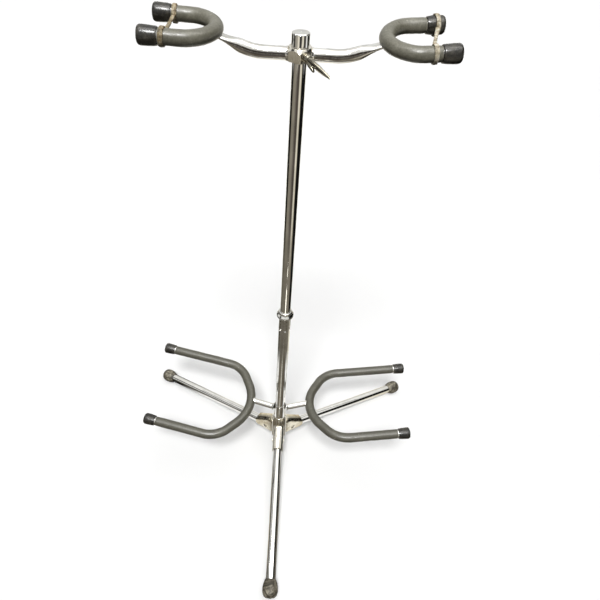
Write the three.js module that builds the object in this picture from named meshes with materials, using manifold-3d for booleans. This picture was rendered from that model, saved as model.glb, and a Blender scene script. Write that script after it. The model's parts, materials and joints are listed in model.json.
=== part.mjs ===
// A chromed double instrument stand: a folding tripod, a telescopic post, a pair of
// padded cradles low down and a pair of padded neck yokes at the top.
// Millimetres, +Z up. The parts are laid out about the post's axis with the floor at
// z = 0, and the whole group is then centred on its own footprint.

import * as THREE from 'three';
import { mergeVertices } from 'three/addons/utils/BufferGeometryUtils.js';
import Module from 'manifold-3d';

const wasm = await Module();
wasm.setup();

// ---------------------------------------------------------------- driving dimensions

const GAP = 0.3; // space kept between touching pieces
const RUN = 0.35; // radial space round a pin or a sliding tube

const TUBE = { upper: 19.05, lower: 22.2, leg: 19.05, arm: 17, yoke: 17, wall: 1.2 };

const LEG = {
  azimuths: { front: -90, rear_right: 30, rear_left: 150 },
  crownZ: 59, // height where the leg axes meet the post axis
  footRadius: 338, // post axis to the middle of a foot
  footZ: 13.7, // height of the leg axis at the middle of a foot
  pinRadius: 32, // post axis to the hinge pin
  stub: 9, // tube inboard of the pin
};

const BRACKET = {
  width: 24,
  wall: 1.9,
  inner: 9, // inner edge, which laps a corner of the hub
  crest: 20, // where the top begins to slope down to the toe
  reach: 58,
  topZ: 90,
  toeZ: 63.5,
  bottomZ: 45.5,
  arch: 7, // rise of the rounded top edges
};

const PIN = { radius: 3, headRadius: 4.8, headHeight: 1.8 };
const FOOT = { radius: 15.3, length: 33, mouthRadius: 11.2, bore: 25 };

const HEX = 31.75; // across flats of both hexagonal blocks
const HUB = { bottom: 40, floor: 52, shoulder: 101.5, top: 112, topRadius: 13.1 };
const BOLT = { radius: 2.8, headRadius: 5.8, headHeight: 4 };
const WASHER = { radius: 9, thickness: 1.2 };
const PLUG_LENGTH = 16; // of the post plug and of the guide plug's spigot

const POST = { lowerTop: 444.5, upperBottom: 330, upperTop: 935 };
const SLOT = { width: 5, bottom: 403, turn: 8, cuts: 3 }; // each cut passes both walls
const COLLAR = { bottom: 436, shoulder: 445, top: 450.5, radius: 15.8, neckRadius: 12.4 };

const CRADLE_BLOCK = { bottom: 113, shoulder: 148, top: 155, radius: 12.9 };
const CRADLE_ARM = { diameter: 12.7, rootX: 5, rootY: -4.5, rootZ: 144.5 };

// A yoke is an arc about its apex, a straight flank and a corner on each side, then two
// parallel prongs. `turn` is the arc's half angle, `bare` is the length of tube seen before
// each cap, and `length` is from the apex to the end of a prong's cap.
const CRADLE = {
  radius: 84.7,
  turn: 36.1,
  flank: 21.7,
  cornerRadius: 60.3,
  bare: 2.4,
  steps: { apex: 3, corner: 3 },
  left: {
    apex: [68.5, 141],
    tip: 1.8,
    yaw: 12.5,
    roll: 6.7,
    length: { front: 211, rear: 239 },
    weld: [67, 14.4, 142.5],
  },
  right: {
    apex: [66.4, 149.2],
    tip: 2.6,
    yaw: 7.1,
    roll: -4.4,
    length: { front: 204.5, rear: 237.5 },
    weld: [66, 10.4, 148.2],
  },
};

const HEAD = { bottom: 911, shoulder: 922.5, top: 928, topRadius: 14.3, armZ: 918 };
const CAP = { radius: 11.7, top: 945.5 };
const ARM = { bendX: 61, rise: 22, pinchStart: 14, pinch: 0.42, spread: 1.08 };
const NECK = {
  radius: 44.5,
  turn: 59.5,
  flank: 0,
  cornerRadius: 29.9,
  bare: 0.8,
  steps: { apex: 4, corner: 2 },
  left: {
    apex: [107, 942.5],
    tip: 1.6,
    yaw: 0.1,
    roll: 0.5,
    length: { front: 87.8, rear: 86.8 },
  },
  right: {
    apex: [109.1, 941.4],
    tip: 2.9,
    yaw: 6,
    roll: 4,
    length: { front: 83.2, rear: 84 },
  },
};

const SLEEVE_RADIUS = 9.9;
const END_CAP = { length: 24.3, tipRadius: 11.9, mouthRadius: 10.9, end: 3 };
const BAND = {
  width: 6,
  thickness: 2.1,
  strap: 3.4,
  left: { near: 58, far: 58 }, // distance of each loop from the apex, near is -Y
  right: { near: 50, far: 72.3 },
};

const WING = {
  azimuth: -60,
  z: 919,
  bossRadius: 5.4,
  boss: 9,
  turn: -168,
  thickness: 4.4,
  long: { length: 48, lean: 9.4, width: 11.5, turn: 0 },
  short: { length: 18, lean: 10.5, width: 8, turn: -18 },
};

// ------------------------------------------------------------------------- materials

const COLOURS = {
  chrome: { color: 0xb9b7b0, roughness: 0.12, metalness: 1 },
  nickel: { color: 0xb8a684, roughness: 0.28, metalness: 1 },
  vinyl: { color: 0x66645c, roughness: 0.6, metalness: 0 },
  rubber: { color: 0x27251f, roughness: 0.25, metalness: 0 },
  footRubber: { color: 0x5f594a, roughness: 0.7, metalness: 0 },
  latex: { color: 0xbfae8a, roughness: 0.65, metalness: 0 },
  nylon: { color: 0xd8d2c4, roughness: 0.5, metalness: 0 },
};

// --------------------------------------------------------------------------- helpers

const degrees = THREE.MathUtils.degToRad;

function piece(name, geometry, look) {
  const material = new THREE.MeshStandardMaterial(COLOURS[look]);
  const mesh = new THREE.Mesh(geometry, material);
  mesh.name = name;
  return mesh;
}

function group(...children) {
  const holder = new THREE.Group();
  holder.add(...children);
  return holder;
}

function regularOutline(radius, sides, turn = 0) {
  const points = [];
  for (let i = 0; i < sides; i += 1) {
    const angle = turn + (2 * Math.PI * i) / sides;
    points.push(new THREE.Vector2(radius * Math.cos(angle), radius * Math.sin(angle)));
  }
  return points;
}

// A solid of revolution about Z from [radius, z] points, given from the bottom up.
function turned(profile, sides = 24) {
  const points = profile.map(([radius, z]) => new THREE.Vector2(radius, z));
  return new THREE.LatheGeometry(points, sides).rotateX(Math.PI / 2);
}

// A ring or tube about Z whose section is the closed outline of [radius, z] points.
function turnedRing(outline, sides = 24) {
  return turned([...outline, outline[0]], sides);
}

function prism(outline, depth) {
  return new THREE.ExtrudeGeometry(new THREE.Shape(outline), { depth, bevelEnabled: false });
}

// A round bar, or a tube when a bore radius is given, along a curve.
function swept(path, radius, bore, steps, sides = 10) {
  const shape = new THREE.Shape(regularOutline(radius, sides));
  if (bore > 0) {
    shape.holes.push(new THREE.Path(regularOutline(bore, sides).reverse()));
  }
  return new THREE.ExtrudeGeometry(shape, { extrudePath: path, steps, bevelEnabled: false });
}

function solid(geometry, matrix) {
  const bare = geometry.clone();
  bare.deleteAttribute('normal');
  bare.deleteAttribute('uv');
  if (matrix) {
    bare.applyMatrix4(matrix);
  }
  const merged = mergeVertices(bare, 1e-3);
  const index = merged.index.array;
  const triangles = [];
  for (let i = 0; i < index.length; i += 3) {
    const [a, b, c] = index.slice(i, i + 3);
    if (a !== b && b !== c && c !== a) {
      triangles.push(a, b, c);
    }
  }
  const mesh = new wasm.Mesh({
    numProp: 3,
    vertProperties: new Float32Array(merged.attributes.position.array),
    triVerts: new Uint32Array(triangles),
  });
  return new wasm.Manifold(mesh);
}

function geometryOf(body) {
  const mesh = body.getMesh();
  const geometry = new THREE.BufferGeometry();
  geometry.setAttribute('position', new THREE.BufferAttribute(mesh.vertProperties, 3));
  geometry.setIndex(new THREE.BufferAttribute(mesh.triVerts, 1));
  const faceted = geometry.toNonIndexed();
  faceted.computeVertexNormals();
  return faceted;
}

// Cuts each tool from the geometry; a tool is a geometry, or a [geometry, matrix] pair.
function cut(geometry, ...tools) {
  let body = solid(geometry);
  for (const tool of tools) {
    const [shape, matrix] = Array.isArray(tool) ? tool : [tool];
    body = body.subtract(solid(shape, matrix));
  }
  return geometryOf(body);
}

function joined(...geometries) {
  return geometryOf(geometries.map((geometry) => solid(geometry)).reduce((a, b) => a.add(b)));
}

// A cylinder of the given length along `direction`, centred on `centre`.
function bar(radius, length, direction, centre, sides = 16) {
  const geometry = new THREE.CylinderGeometry(radius, radius, length, sides);
  const turn = new THREE.Quaternion();
  turn.setFromUnitVectors(new THREE.Vector3(0, 1, 0), new THREE.Vector3(...direction));
  return geometry.applyQuaternion(turn).translate(...centre);
}

// ------------------------------------------------------------------- hub and its bolt

function hexBlock(bottom, shoulder, top, topRadius) {
  const corner = HEX / 2 / Math.cos(Math.PI / 6);
  const hexagon = prism(regularOutline(corner, 6, Math.PI / 6), top - bottom);
  const chamfer = 1;
  const turnedSkin = turned([
    [0, bottom],
    [corner - chamfer, bottom],
    [corner + 0.05, bottom + chamfer],
    [corner + 0.05, shoulder],
    [topRadius, top],
    [0, top],
  ], 36);
  return geometryOf(solid(hexagon.translate(0, 0, bottom)).intersect(solid(turnedSkin)));
}

function hubBlock() {
  const socketRadius = TUBE.lower / 2 + GAP;
  const socket = bar(socketRadius, HUB.top, [0, 0, 1], [0, 0, HUB.floor + HUB.top / 2], 24);
  const boltHole = bar(BOLT.radius + RUN, HUB.top, [0, 0, 1], [0, 0, HUB.bottom], 12);
  return cut(hexBlock(HUB.bottom, HUB.shoulder, HUB.top, HUB.topRadius), socket, boltHole);
}

function hubBolt() {
  const headBottom = HUB.bottom - WASHER.thickness - 2 * GAP - BOLT.headHeight;
  const head = prism(regularOutline(BOLT.headRadius, 6), BOLT.headHeight);
  head.translate(0, 0, headBottom);
  const shankLength = HUB.floor + PLUG_LENGTH - headBottom;
  const shank = bar(BOLT.radius, shankLength, [0, 0, 1], [0, 0, headBottom + shankLength / 2], 12);
  return joined(head, shank);
}

function hubWasher() {
  const top = HUB.bottom - GAP;
  return turnedRing([
    [BOLT.radius + RUN, top - WASHER.thickness],
    [WASHER.radius, top - WASHER.thickness],
    [WASHER.radius, top],
    [BOLT.radius + RUN, top],
  ]);
}

// The threaded plug fixed in the foot of the lower tube, which the bolt pulls down.
function postPlug() {
  const radius = TUBE.lower / 2 - TUBE.wall - GAP;
  const bottom = HUB.floor + GAP;
  return turnedRing([
    [BOLT.radius + RUN, bottom],
    [radius, bottom],
    [radius, bottom + PLUG_LENGTH],
    [BOLT.radius + RUN, bottom + PLUG_LENGTH],
  ]);
}

// ------------------------------------------------------------------------------ legs

const legSlope = Math.atan((LEG.crownZ - LEG.footZ) / LEG.footRadius);
const pinZ = LEG.crownZ - LEG.pinRadius * Math.tan(legSlope);
const legRun = (LEG.footRadius - LEG.pinRadius) / Math.cos(legSlope); // pin to foot middle

// The bracket's own frame: X outward from the post axis, Z up, Y across.
function legBracket() {
  const { inner, crest, reach, topZ, toeZ, bottomZ } = BRACKET;
  const outside = [
    [inner, bottomZ + 1],
    [LEG.pinRadius - 2, bottomZ],
    [reach - 2, bottomZ + 2],
    [reach, bottomZ + 5],
    [reach, toeZ],
    [crest, topZ],
    [inner, topZ],
  ];
  const fall = (topZ - toeZ) / (reach - crest);
  const slope = Math.atan(fall);
  const webDrop = BRACKET.wall / Math.cos(slope);
  const beyond = 5;
  const inside = [
    [0, bottomZ - 2 * beyond],
    [reach + beyond, bottomZ - 2 * beyond],
    [reach + beyond, toeZ - webDrop - beyond * fall],
    [crest, topZ - webDrop],
    [0, topZ - webDrop],
  ];
  const innerWidth = BRACKET.width - 2 * BRACKET.wall;
  const hollow = sideways(inside, innerWidth);
  const pinHole = bar(PIN.radius + RUN, 2 * BRACKET.width, [0, 1, 0], [LEG.pinRadius, 0, pinZ], 12);
  const hub = prism(regularOutline((HEX / 2 + GAP) / Math.cos(Math.PI / 6), 6), 2 * topZ);
  const body = solid(sideways(outside, BRACKET.width)).intersect(archedTunnel(slope));
  return cut(geometryOf(body), hollow, pinHole, hub);
}

// The space under an arch that follows the bracket's sloping top from end to end.
function archedTunnel(slope) {
  const half = BRACKET.width / 2;
  const facets = 8;
  const outline = [];
  for (let i = 0; i <= facets; i += 1) {
    const angle = (Math.PI * i) / facets;
    const y = half * Math.cos(angle);
    outline.push(new THREE.Vector2(y, BRACKET.arch * (Math.sin(angle) - 1)));
  }
  const depth = 60;
  outline.push(new THREE.Vector2(-half, -depth), new THREE.Vector2(half, -depth));
  const outward = new THREE.Vector3(Math.cos(slope), 0, -Math.sin(slope));
  const upward = new THREE.Vector3(Math.sin(slope), 0, Math.cos(slope));
  const frame = new THREE.Matrix4().makeBasis(new THREE.Vector3(0, 1, 0), upward, outward);
  const start = new THREE.Vector3(BRACKET.crest, 0, BRACKET.topZ).addScaledVector(outward, -25);
  return solid(prism(outline, 80), frame.setPosition(start));
}

// An outline of [x, z] points made into a plate of the given width across Y.
function sideways(outline, width) {
  const points = outline.map(([x, z]) => new THREE.Vector2(x, z));
  return prism(points, width).rotateX(Math.PI / 2).translate(0, width / 2, 0);
}

function hingePin() {
  const half = BRACKET.width / 2 + GAP;
  const end = half + PIN.headHeight;
  const profile = [
    [0, -end],
    [PIN.headRadius - 1.4, -end],
    [PIN.headRadius, -half],
    [PIN.radius, -half],
    [PIN.radius, half],
    [PIN.headRadius, half],
    [PIN.headRadius - 1.4, end],
    [0, end],
  ];
  return turned(profile, 12).rotateX(Math.PI / 2);
}

// The leg's own frame: the hinge pin at the origin and X along the tube.
function legTube() {
  const end = legRun - FOOT.length / 2 + FOOT.bore - GAP;
  const radius = TUBE.leg / 2;
  const path = new THREE.LineCurve3(
    new THREE.Vector3(-LEG.stub, 0, 0),
    new THREE.Vector3(end, 0, 0),
  );
  const tube = swept(path, radius, radius - TUBE.wall, 1, 20);
  return cut(tube, bar(PIN.radius + RUN, 2 * BRACKET.width, [0, 1, 0], [0, 0, 0], 12));
}

function legFoot(toLegFrame) {
  const bore = TUBE.leg / 2 + GAP;
  const barrel = [
    [bore, 0],
    [FOOT.mouthRadius, 0],
    [FOOT.mouthRadius + 0.9, 2.5],
    [FOOT.radius - 0.9, 10],
    [FOOT.radius, 17.5],
    [FOOT.radius - 1, 25],
    [FOOT.radius - 4.6, 30.5],
    [0, FOOT.length],
    [0, FOOT.bore],
    [bore, FOOT.bore],
    [bore, 0],
  ];
  const body = turned(barrel, 20).rotateY(Math.PI / 2);
  body.translate(legRun - FOOT.length / 2, 0, 0);
  const underFloor = new THREE.BoxGeometry(1200, 1200, 60).translate(0, 0, -30);
  return cut(body, [underFloor, toLegFrame]);
}

function leg(side) {
  const azimuth = degrees(LEG.azimuths[side]);
  const swing = new THREE.Group();
  swing.position.set(LEG.pinRadius, 0, pinZ);
  swing.rotation.y = legSlope;
  const station = group(swing);
  station.rotation.z = azimuth;
  station.updateMatrixWorld(true);
  const toLegFrame = swing.matrixWorld.clone().invert();
  swing.add(piece(`leg_tube_${side}`, legTube(), 'chrome'));
  swing.add(piece(`foot_${side}`, legFoot(toLegFrame), 'footRubber'));
  const pin = piece(`hinge_pin_${side}`, hingePin(), 'chrome');
  pin.position.copy(swing.position);
  station.add(piece(`leg_bracket_${side}`, legBracket(), 'nickel'), pin);
  return station;
}

// ------------------------------------------------------------------------------ post

function lowerPostTube() {
  const radius = TUBE.lower / 2;
  const bottom = HUB.floor + GAP;
  const tube = turnedRing([
    [radius - TUBE.wall, bottom],
    [radius, bottom],
    [radius, POST.lowerTop],
    [radius - TUBE.wall, POST.lowerTop],
  ]);
  const width = 3 * TUBE.lower;
  const height = 2 * (POST.lowerTop - SLOT.bottom);
  const saw = new THREE.BoxGeometry(SLOT.width, width, height).translate(0, 0, POST.lowerTop);
  const round = bar(SLOT.width / 2, width, [0, 1, 0], [0, 0, SLOT.bottom], 12);
  const tools = [];
  for (let i = 0; i < SLOT.cuts; i += 1) {
    const angle = SLOT.turn + (180 * i) / SLOT.cuts;
    const turn = new THREE.Matrix4().makeRotationZ(degrees(angle));
    tools.push([saw, turn], [round, turn]);
  }
  return cut(tube, ...tools);
}

function collar() {
  const bore = TUBE.lower / 2 + GAP;
  const neckBore = TUBE.upper / 2 + RUN;
  return turnedRing([
    [bore, COLLAR.bottom],
    [COLLAR.radius - 1.6, COLLAR.bottom],
    [COLLAR.radius, COLLAR.bottom + 2.2],
    [COLLAR.radius, COLLAR.shoulder - 3.4],
    [COLLAR.neckRadius, COLLAR.shoulder],
    [COLLAR.neckRadius, COLLAR.top - 1.4],
    [COLLAR.neckRadius - 1.2, COLLAR.top],
    [neckBore, COLLAR.top],
    [neckBore, POST.lowerTop + GAP],
    [bore, POST.lowerTop + GAP],
  ]);
}

function upperPostTube() {
  const radius = TUBE.upper / 2;
  return turnedRing([
    [radius - TUBE.wall, POST.upperBottom],
    [radius, POST.upperBottom],
    [radius, POST.upperTop],
    [radius - TUBE.wall, POST.upperTop],
  ]);
}

// The nylon guide in the foot of the upper tube, which keeps it central as it slides.
function guidePlug() {
  const spigot = TUBE.upper / 2 - TUBE.wall - GAP;
  const flange = TUBE.lower / 2 - TUBE.wall - 0.25;
  const seat = POST.upperBottom - GAP;
  return turned([
    [0, seat - 6],
    [flange - 0.8, seat - 6],
    [flange, seat - 5],
    [flange, seat],
    [spigot, seat],
    [spigot, seat + PLUG_LENGTH],
    [0, seat + PLUG_LENGTH],
  ]);
}

function topCap() {
  const bore = TUBE.upper / 2 + GAP;
  const bottom = HEAD.top + GAP;
  const roof = POST.upperTop + GAP;
  return turned([
    [bore, bottom],
    [CAP.radius, bottom],
    [CAP.radius, CAP.top - 1.6],
    [CAP.radius - 1.4, CAP.top - 0.3],
    [0, CAP.top],
    [0, roof],
    [bore, roof],
    [bore, bottom],
  ]);
}

// ---------------------------------------------------------------------- padded yokes

// One half of a yoke's outline, from its apex out along +Y: [x, y, heading] stations,
// where the heading turns from +Y at the apex to +X along the prong.
function halfOutline({ radius, turn, flank, cornerRadius, steps }) {
  const stations = [[0, 0, 0]];
  const square = Math.PI / 2;

  function bend(bendRadius, finish, count) {
    const [x, y, start] = stations.at(-1);
    const centreX = x + bendRadius * Math.cos(start);
    const centreY = y - bendRadius * Math.sin(start);
    for (let i = 1; i <= count; i += 1) {
      const heading = start + ((finish - start) * i) / count;
      const cosine = Math.cos(heading);
      const sine = Math.sin(heading);
      stations.push([centreX - bendRadius * cosine, centreY + bendRadius * sine, heading]);
    }
  }

  bend(radius, degrees(turn), steps.apex);
  if (flank > 0) {
    const [x, y, heading] = stations.at(-1);
    stations.push([x + flank * Math.sin(heading), y + flank * Math.cos(heading), heading]);
  }
  bend(cornerRadius, square, steps.corner);
  return stations;
}

function halfWidth(yoke) {
  return halfOutline(yoke).at(-1)[1];
}

// A yoke's centre line in the XY plane: its apex at the origin and its prongs along +X,
// each stopping `short` of its full length. The front prong is -Y on the right-hand yokes
// and +Y on the left-hand ones. Equal steps of the curve are the outline's own stations.
class YokePath extends THREE.Curve {
  constructor(yoke, side, short) {
    super();
    const half = halfOutline(yoke);
    const { front, rear } = yoke[side].length;
    const [plus, minus] = side === 'right' ? [rear, front] : [front, rear];
    const [, y, heading] = half.at(-1);
    const there = [...half, [plus - short, y, heading]];
    const back = [...half.slice(1), [minus - short, y, heading]];
    const mirrored = back.map(([stationX, stationY, turn]) => [stationX, -stationY, -turn]);
    this.stations = [...mirrored.reverse(), ...there];
  }

  get steps() {
    return this.stations.length - 1;
  }

  station(u) {
    return this.stations[Math.round(u * this.steps)];
  }

  getPointAt(u, target = new THREE.Vector3()) {
    const [x, y] = this.station(u);
    return target.set(x, y, 0);
  }

  getTangentAt(u, target = new THREE.Vector3()) {
    const [, , heading] = this.station(u);
    return target.set(Math.sin(heading), Math.cos(heading), 0);
  }
}

function sweptYoke(yoke, side, short, radius, bore) {
  const path = new YokePath(yoke, side, short);
  return swept(path, radius, bore, path.steps);
}

function yokeFrame(spec, side) {
  const holder = new THREE.Group();
  const across = side === 'right' ? 1 : -1;
  const yaw = side === 'right' ? spec.yaw : 180 - spec.yaw;
  holder.position.set(across * spec.apex[0], 0, spec.apex[1]);
  holder.rotation.set(degrees(across * spec.roll), degrees(-spec.tip), degrees(yaw), 'ZYX');
  holder.updateMatrixWorld(true);
  return holder;
}

// A moulded cap over a prong's end: its mouth at x = 0, its closed end at +X.
function endCap() {
  const bore = TUBE.yoke / 2 + GAP;
  return turned([
    [bore, 0],
    [END_CAP.mouthRadius, 0],
    [END_CAP.tipRadius - 0.5, 5],
    [END_CAP.tipRadius, END_CAP.length - 4],
    [END_CAP.tipRadius - 1.6, END_CAP.length - 0.5],
    [0, END_CAP.length],
    [0, END_CAP.length - END_CAP.end],
    [bore, END_CAP.length - END_CAP.end],
    [bore, 0],
  ], 16).rotateY(Math.PI / 2);
}

// The tube, its sleeve and its two caps. `arm` is the arm that meets the apex, in the
// frame that holds the yoke, and the sleeve is cut clear of it.
function paddedYoke(name, yoke, side, arm) {
  const holder = yokeFrame(yoke[side], side);
  const underCap = END_CAP.end + GAP;
  const underSleeve = END_CAP.length + yoke.bare;
  const tubeRadius = TUBE.yoke / 2;
  const tube = sweptYoke(yoke, side, underCap, tubeRadius, tubeRadius - TUBE.wall);
  const sleeve = sweptYoke(yoke, side, underSleeve, SLEEVE_RADIUS, tubeRadius + RUN);
  const toHolder = holder.matrixWorld.clone().invert();
  holder.add(piece(`${name}_tube_${side}`, tube, 'chrome'));
  holder.add(piece(`${name}_sleeve_${side}`, cut(sleeve, [arm, toHolder]), 'vinyl'));
  for (const [place, sign] of [['front', -1], ['rear', 1]]) {
    const cap = piece(`${name}_cap_${side}_${place}`, endCap(), 'rubber');
    const sense = side === 'right' ? sign : -sign;
    cap.position.set(yoke[side].length[place] - END_CAP.length, sense * halfWidth(yoke), 0);
    holder.add(cap);
  }
  return holder;
}

// The swelled copy of a yoke's tube that an arm's end is cut back from.
function yokeClearance(yoke, side) {
  const holder = yokeFrame(yoke[side], side);
  return [sweptYoke(yoke, side, 0, TUBE.yoke / 2 + GAP, 0), holder.matrixWorld];
}

// ------------------------------------------------------------------------ lower level

function cradleBlock() {
  const bore = TUBE.lower / 2 + GAP;
  const { bottom, shoulder, top, radius } = CRADLE_BLOCK;
  return turnedRing([
    [bore, bottom],
    [radius - 0.6, bottom],
    [radius, bottom + 1],
    [radius, shoulder],
    [bore + 0.6, top],
    [bore, top],
  ]);
}

function cradleArm(side, extra = 0) {
  const across = side === 'right' ? 1 : -1;
  const { rootX, rootY, rootZ } = CRADLE_ARM;
  const [weldX, weldY, weldZ] = CRADLE[side].weld;
  const path = new THREE.LineCurve3(
    new THREE.Vector3(across * rootX, rootY, rootZ),
    new THREE.Vector3(across * weldX, weldY, weldZ),
  );
  return swept(path, CRADLE_ARM.diameter / 2 + extra, 0, 1, 12);
}

function lowerLevel() {
  const level = group(piece('cradle_block', cradleBlock(), 'chrome'));
  const around = bar(CRADLE_BLOCK.radius + GAP, 90, [0, 0, 1], [0, 0, CRADLE_ARM.rootZ], 32);
  for (const side of ['left', 'right']) {
    const arm = cut(cradleArm(side), around, yokeClearance(CRADLE, side));
    level.add(piece(`cradle_arm_${side}`, arm, 'chrome'));
    level.add(paddedYoke('cradle', CRADLE, side, cradleArm(side, GAP)));
  }
  return level;
}

// ------------------------------------------------------------------------ upper level

function headBlock() {
  const bore = bar(TUBE.upper / 2 + RUN, 60, [0, 0, 1], [0, 0, HEAD.armZ], 24);
  const azimuth = degrees(WING.azimuth);
  const outward = [Math.cos(azimuth), Math.sin(azimuth), 0];
  const centre = [outward[0] * 20, outward[1] * 20, WING.z];
  const screwHole = bar(3.4, 30, outward, centre, 12);
  return cut(hexBlock(HEAD.bottom, HEAD.shoulder, HEAD.top, HEAD.topRadius), bore, screwHole);
}

// A bent arm whose outer end is pinched flat where it is welded to the yoke.
function upperArm(side, extra = 0) {
  const across = side === 'right' ? 1 : -1;
  const rise = degrees(ARM.rise);
  const bend = new THREE.Vector3(ARM.bendX, 0, HEAD.armZ);
  const easing = 12;
  const outward = new THREE.Vector3(Math.cos(rise), 0, Math.sin(rise));
  const reach = (NECK[side].apex[0] - ARM.bendX) / Math.cos(rise);
  const root = new THREE.Vector3(HEX / 2 + GAP, 0, HEAD.armZ);
  const bendIn = new THREE.Vector3(ARM.bendX - easing, 0, HEAD.armZ);
  const bendOut = bend.clone().addScaledVector(outward, easing);
  const tip = bend.clone().addScaledVector(outward, reach);
  const path = new THREE.CurvePath();
  path.add(new THREE.LineCurve3(root, bendIn));
  path.add(new THREE.QuadraticBezierCurve3(bendIn, bend, bendOut));
  path.add(new THREE.LineCurve3(bendOut, tip));
  const radius = TUBE.arm / 2 + extra;
  const bore = extra > 0 ? 0 : radius - TUBE.wall;
  const geometry = swept(path, radius, bore, 10, 12);
  const up = new THREE.Vector3(-outward.z, 0, outward.x);
  const place = geometry.attributes.position;
  const point = new THREE.Vector3();
  for (let i = 0; i < place.count; i += 1) {
    point.fromBufferAttribute(place, i).sub(bend);
    const along = point.dot(outward);
    const height = point.dot(up);
    const amount = THREE.MathUtils.smoothstep(along, ARM.pinchStart, reach - 6);
    point.addScaledVector(up, height * amount * (ARM.pinch - 1));
    point.y *= 1 + amount * (ARM.spread - 1);
    point.add(bend);
    place.setXYZ(i, point.x, point.y, point.z);
  }
  if (across < 0) {
    geometry.rotateZ(Math.PI);
  }
  return geometry;
}

// The thumb screw, its axis along X: shank inward, boss and two swept wings outward.
function wingScrew() {
  const face = HEX / 2 + GAP;
  const tip = TUBE.upper / 2 + GAP;
  const turning = turned([
    [0, tip],
    [2.9, tip],
    [2.9, face],
    [WING.bossRadius, face],
    [WING.bossRadius, face + WING.boss - 1],
    [WING.bossRadius - 1.2, face + WING.boss],
    [0, face + WING.boss],
  ], 16).rotateY(Math.PI / 2);
  return joined(turning, wing(WING.long), wing(WING.short));

  // A leaf-shaped blade that leans away from the axis, turned about it by `turn`.
  function wing({ length, lean, width, turn }) {
    const start = face + 2.5;
    const half = width / 2;
    const outline = [
      [start, -3.4],
      [start + length * 0.45, lean * 0.45 - half],
      [start + length - 1.5, lean - 1.8],
      [start + length, lean],
      [start + length - 1.5, lean + 1.6],
      [start + length * 0.45, lean * 0.45 + half],
      [start, 4.4],
    ];
    return sideways(outline, WING.thickness).rotateX(degrees(turn));
  }
}

// A rubber band looped round both prongs, with its strap across the mouth.
function retainingBand(side) {
  const { near, far } = BAND[side];
  const onCap = far > NECK[side].length.rear - END_CAP.length;
  const nearRadius = SLEEVE_RADIUS + GAP;
  const farRadius = onCap ? END_CAP.tipRadius + GAP : nearRadius;
  const half = halfWidth(NECK);
  const nearLoop = loop(nearRadius).translate(near, -half, 0);
  const farLoop = loop(farRadius).translate(far, half, 0);
  const start = new THREE.Vector3(near, -half + nearRadius + BAND.thickness / 2, 0);
  const end = new THREE.Vector3(far, half - farRadius - BAND.thickness / 2, 0);
  const span = start.distanceTo(end);
  const strap = new THREE.BoxGeometry(BAND.width, span, BAND.strap);
  strap.rotateZ(-Math.atan2(end.x - start.x, end.y - start.y));
  strap.translate((start.x + end.x) / 2, (start.y + end.y) / 2, 0);
  return joined(nearLoop, farLoop, strap);

  function loop(inside) {
    return turnedRing([
      [inside, -BAND.width / 2],
      [inside + BAND.thickness, -BAND.width / 2],
      [inside + BAND.thickness, BAND.width / 2],
      [inside, BAND.width / 2],
    ], 20).rotateY(Math.PI / 2);
  }
}

function upperLevel() {
  const level = group(piece('head_block', headBlock(), 'nickel'));
  for (const side of ['left', 'right']) {
    const arm = cut(upperArm(side), yokeClearance(NECK, side));
    level.add(piece(`upper_arm_${side}`, arm, 'chrome'));
    const yoke = paddedYoke('neck', NECK, side, upperArm(side, GAP));
    const band = piece(`retaining_band_${side}`, retainingBand(side), 'latex');
    if (side === 'left') {
      band.rotation.x = Math.PI;
    }
    yoke.add(band);
    level.add(yoke);
  }
  const screw = piece('wing_screw', wingScrew(), 'chrome');
  screw.rotation.set(degrees(WING.turn), 0, degrees(WING.azimuth), 'ZYX');
  screw.position.z = WING.z;
  level.add(screw);
  return level;
}

// --------------------------------------------------------------------------- the stand

const stand = group(
  piece('hub_block', hubBlock(), 'nickel'),
  piece('hub_bolt', hubBolt(), 'chrome'),
  piece('hub_washer', hubWasher(), 'chrome'),
  piece('post_plug', postPlug(), 'nickel'),
  leg('front'),
  leg('rear_right'),
  leg('rear_left'),
  piece('lower_post_tube', lowerPostTube(), 'chrome'),
  piece('locking_collar', collar(), 'chrome'),
  piece('upper_post_tube', upperPostTube(), 'chrome'),
  piece('guide_plug', guidePlug(), 'nylon'),
  piece('top_cap', topCap(), 'chrome'),
  lowerLevel(),
  upperLevel(),
);

const footprint = new THREE.Box3().setFromObject(stand, true);
const middle = footprint.getCenter(new THREE.Vector3());
stand.position.set(-middle.x, -middle.y, -footprint.min.z);

export default stand;
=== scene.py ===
"""A chromed double instrument stand: every visible piece rebuilt finely on its CAD frame.

Sizes are in millimetres in the stand's own layout, with the post's axis at x = y = 0 and the
floor at z = 0. `made` turns them into metres in the shared frame, whose origin is under the
middle of the footprint. The studio at the end of the file is in metres.
"""

import json
import math

import bmesh
import bpy
from mathutils import Matrix, Vector, noise


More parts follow.
